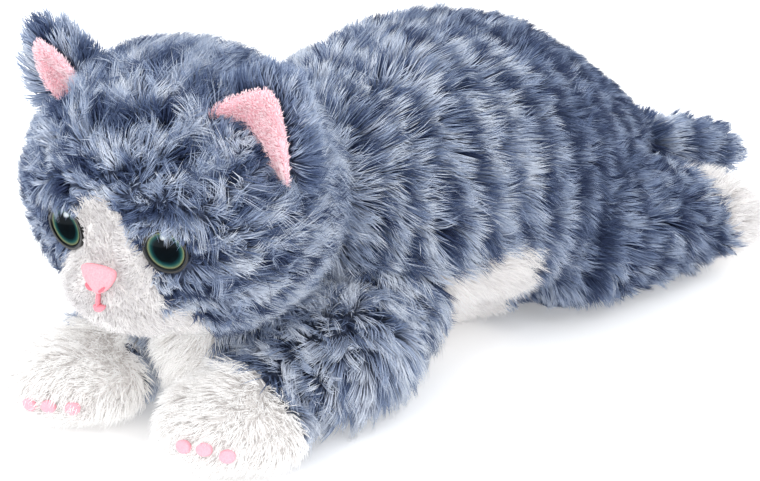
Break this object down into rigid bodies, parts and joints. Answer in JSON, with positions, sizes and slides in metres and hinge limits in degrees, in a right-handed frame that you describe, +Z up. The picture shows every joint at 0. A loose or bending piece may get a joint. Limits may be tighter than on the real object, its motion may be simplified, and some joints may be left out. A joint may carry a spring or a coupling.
{
  "type": "interactive plush pet",
  "caption": "Lying plush kitten whose head turns and nods and whose tail sways, with domed eyes, touch buttons and a battery case inside.",
  "frame": {"origin": "middle of the flat patch of the belly that rests on the ground", "axes": "+Z up, the kitten faces -Y, its left side is +X"},
  "size_m": [0.146, 0.4031, 0.1536],
  "materials": {
    "grey_plush": "plush",
    "white_plush": "plush",
    "pink_plush": "velvet",
    "filling": "fibre",
    "case_plastic": "matte",
    "button_plastic": "matte",
    "gear_plastic": "satin",
    "steel": "brushed",
    "motor_can": "brushed",
    "cell_can": "satin",
    "contact_brass": "satin",
    "board": "satin",
    "speaker_black": "matte",
    "eye_black": "gloss",
    "eye_iris": "gloss",
    "eye_clear": "gloss",
    "washer_nylon": "matte"
  },
  "bodies": {
    "body": {"shoulder_panel": "grey_plush", "rump_panel": "grey_plush", "belly_panel": "white_plush", "chest_panel": "white_plush", "body_filling": "filling", "hind_leg_left": "grey_plush", "hind_leg_right": "grey_plush", "hind_paw_left": "white_plush", "hind_paw_right": "white_plush", "front_leg_left": "grey_plush", "front_leg_right": "grey_plush", "front_paw_left": "white_plush", "front_paw_right": "white_plush", "case_lower": "case_plastic", "case_upper": "case_plastic", "case_screws": "steel", "battery_cells": "cell_can", "battery_contacts": "contact_brass", "circuit_board": "board", "speaker": "speaker_black", "purr_motor": "motor_can", "switch_body": "case_plastic", "neck_base": "case_plastic", "turn_motor": "motor_can", "tail_bracket": "case_plastic", "tail_motor": "motor_can"},
    "neck": {"neck_shaft": "steel", "turn_gear": "gear_plastic", "neck_yoke": "case_plastic", "nod_pins": "steel", "nod_motor": "motor_can"},
    "head": {"head_front": "grey_plush", "face_panel": "white_plush", "head_back": "grey_plush", "head_filling": "filling", "skull_front": "case_plastic", "skull_back": "case_plastic", "nod_sector": "gear_plastic", "ear_back_left": "grey_plush", "ear_back_right": "grey_plush", "ear_lining_left": "pink_plush", "ear_lining_right": "pink_plush", "nose_pad": "pink_plush", "mouth_stitch": "pink_plush", "eye_cups": "eye_black", "eye_irises": "eye_iris", "eye_domes": "eye_clear", "eye_washers": "washer_nylon"},
    "tail": {"tail_cover": "grey_plush", "tail_arm": "case_plastic", "tail_shaft": "steel", "tail_gear": "gear_plastic"},
    "turn_pinion_body": {"turn_pinion": "gear_plastic"},
    "nod_pinion_body": {"nod_pinion": "gear_plastic"},
    "tail_pinion_body": {"tail_pinion": "gear_plastic"},
    "purr_weight_body": {"purr_weight": "steel"},
    "head_button_body": {"head_button": "button_plastic"},
    "back_button_body": {"back_button": "button_plastic"},
    "switch_knob_body": {"switch_knob": "button_plastic"},
    "battery_door_body": {"battery_door": "case_plastic"}
  },
  "joints": [
    {"name": "head_turn", "type": "hinge", "parent": "body", "child": "neck", "pos_m": [0, -0.126, 0.084], "axis": [0, 0, 1], "range_deg": [-20, 20]},
    {"name": "head_nod", "type": "hinge", "parent": "neck", "child": "head", "pos_m": [0, -0.126, 0.084], "axis": [0.9877, 0.1564, 0], "range_deg": [-6, 8]},
    {"name": "tail_sway", "type": "hinge", "parent": "body", "child": "tail", "pos_m": [0.0034, 0.103, 0.051], "axis": [0, 0, 1], "range_deg": [-12, 12]},
    {"name": "turn_pinion_spin", "type": "hinge", "parent": "body", "child": "turn_pinion_body", "pos_m": [0, -0.106, 0.025], "axis": [0, 0, 1], "range_deg": [-60, 60]},
    {"name": "nod_pinion_spin", "type": "hinge", "parent": "neck", "child": "nod_pinion_body", "pos_m": [0.00279, -0.14358, 0.09311], "axis": [0.9877, 0.1564, 0], "range_deg": [-24, 18]},
    {"name": "tail_pinion_spin", "type": "hinge", "parent": "body", "child": "tail_pinion_body", "pos_m": [0.0034, 0.083, 0.041], "axis": [0, 0, 1], "range_deg": [-36, 36]},
    {"name": "purr_weight_spin", "type": "hinge", "parent": "body", "child": "purr_weight_body", "pos_m": [0, 0.0505, 0.032], "axis": [1, 0, 0], "continuous": true},
    {"name": "head_button_press", "type": "slide", "parent": "head", "child": "head_button_body", "axis": [0, 0, -1], "range_m": [0, 0.0012], "stiffness_N_per_m": 400, "springref_m": -0.002},
    {"name": "back_button_press", "type": "slide", "parent": "body", "child": "back_button_body", "axis": [0, 0, -1], "range_m": [0, 0.0012], "stiffness_N_per_m": 400, "springref_m": -0.002},
    {"name": "switch_slide", "type": "slide", "parent": "body", "child": "switch_knob_body", "axis": [1, 0, 0], "range_m": [-0.002, 0.002]},
    {"name": "battery_door_slide", "type": "slide", "parent": "body", "child": "battery_door_body", "axis": [0, 1, 0], "range_m": [0, 0.007]}
  ],
  "couplings": [
    {"joint": "turn_pinion_spin", "follows": "head_turn", "ratio": -3},
    {"joint": "nod_pinion_spin", "follows": "head_nod", "ratio": -3},
    {"joint": "tail_pinion_spin", "follows": "tail_sway", "ratio": -3}
  ]
}
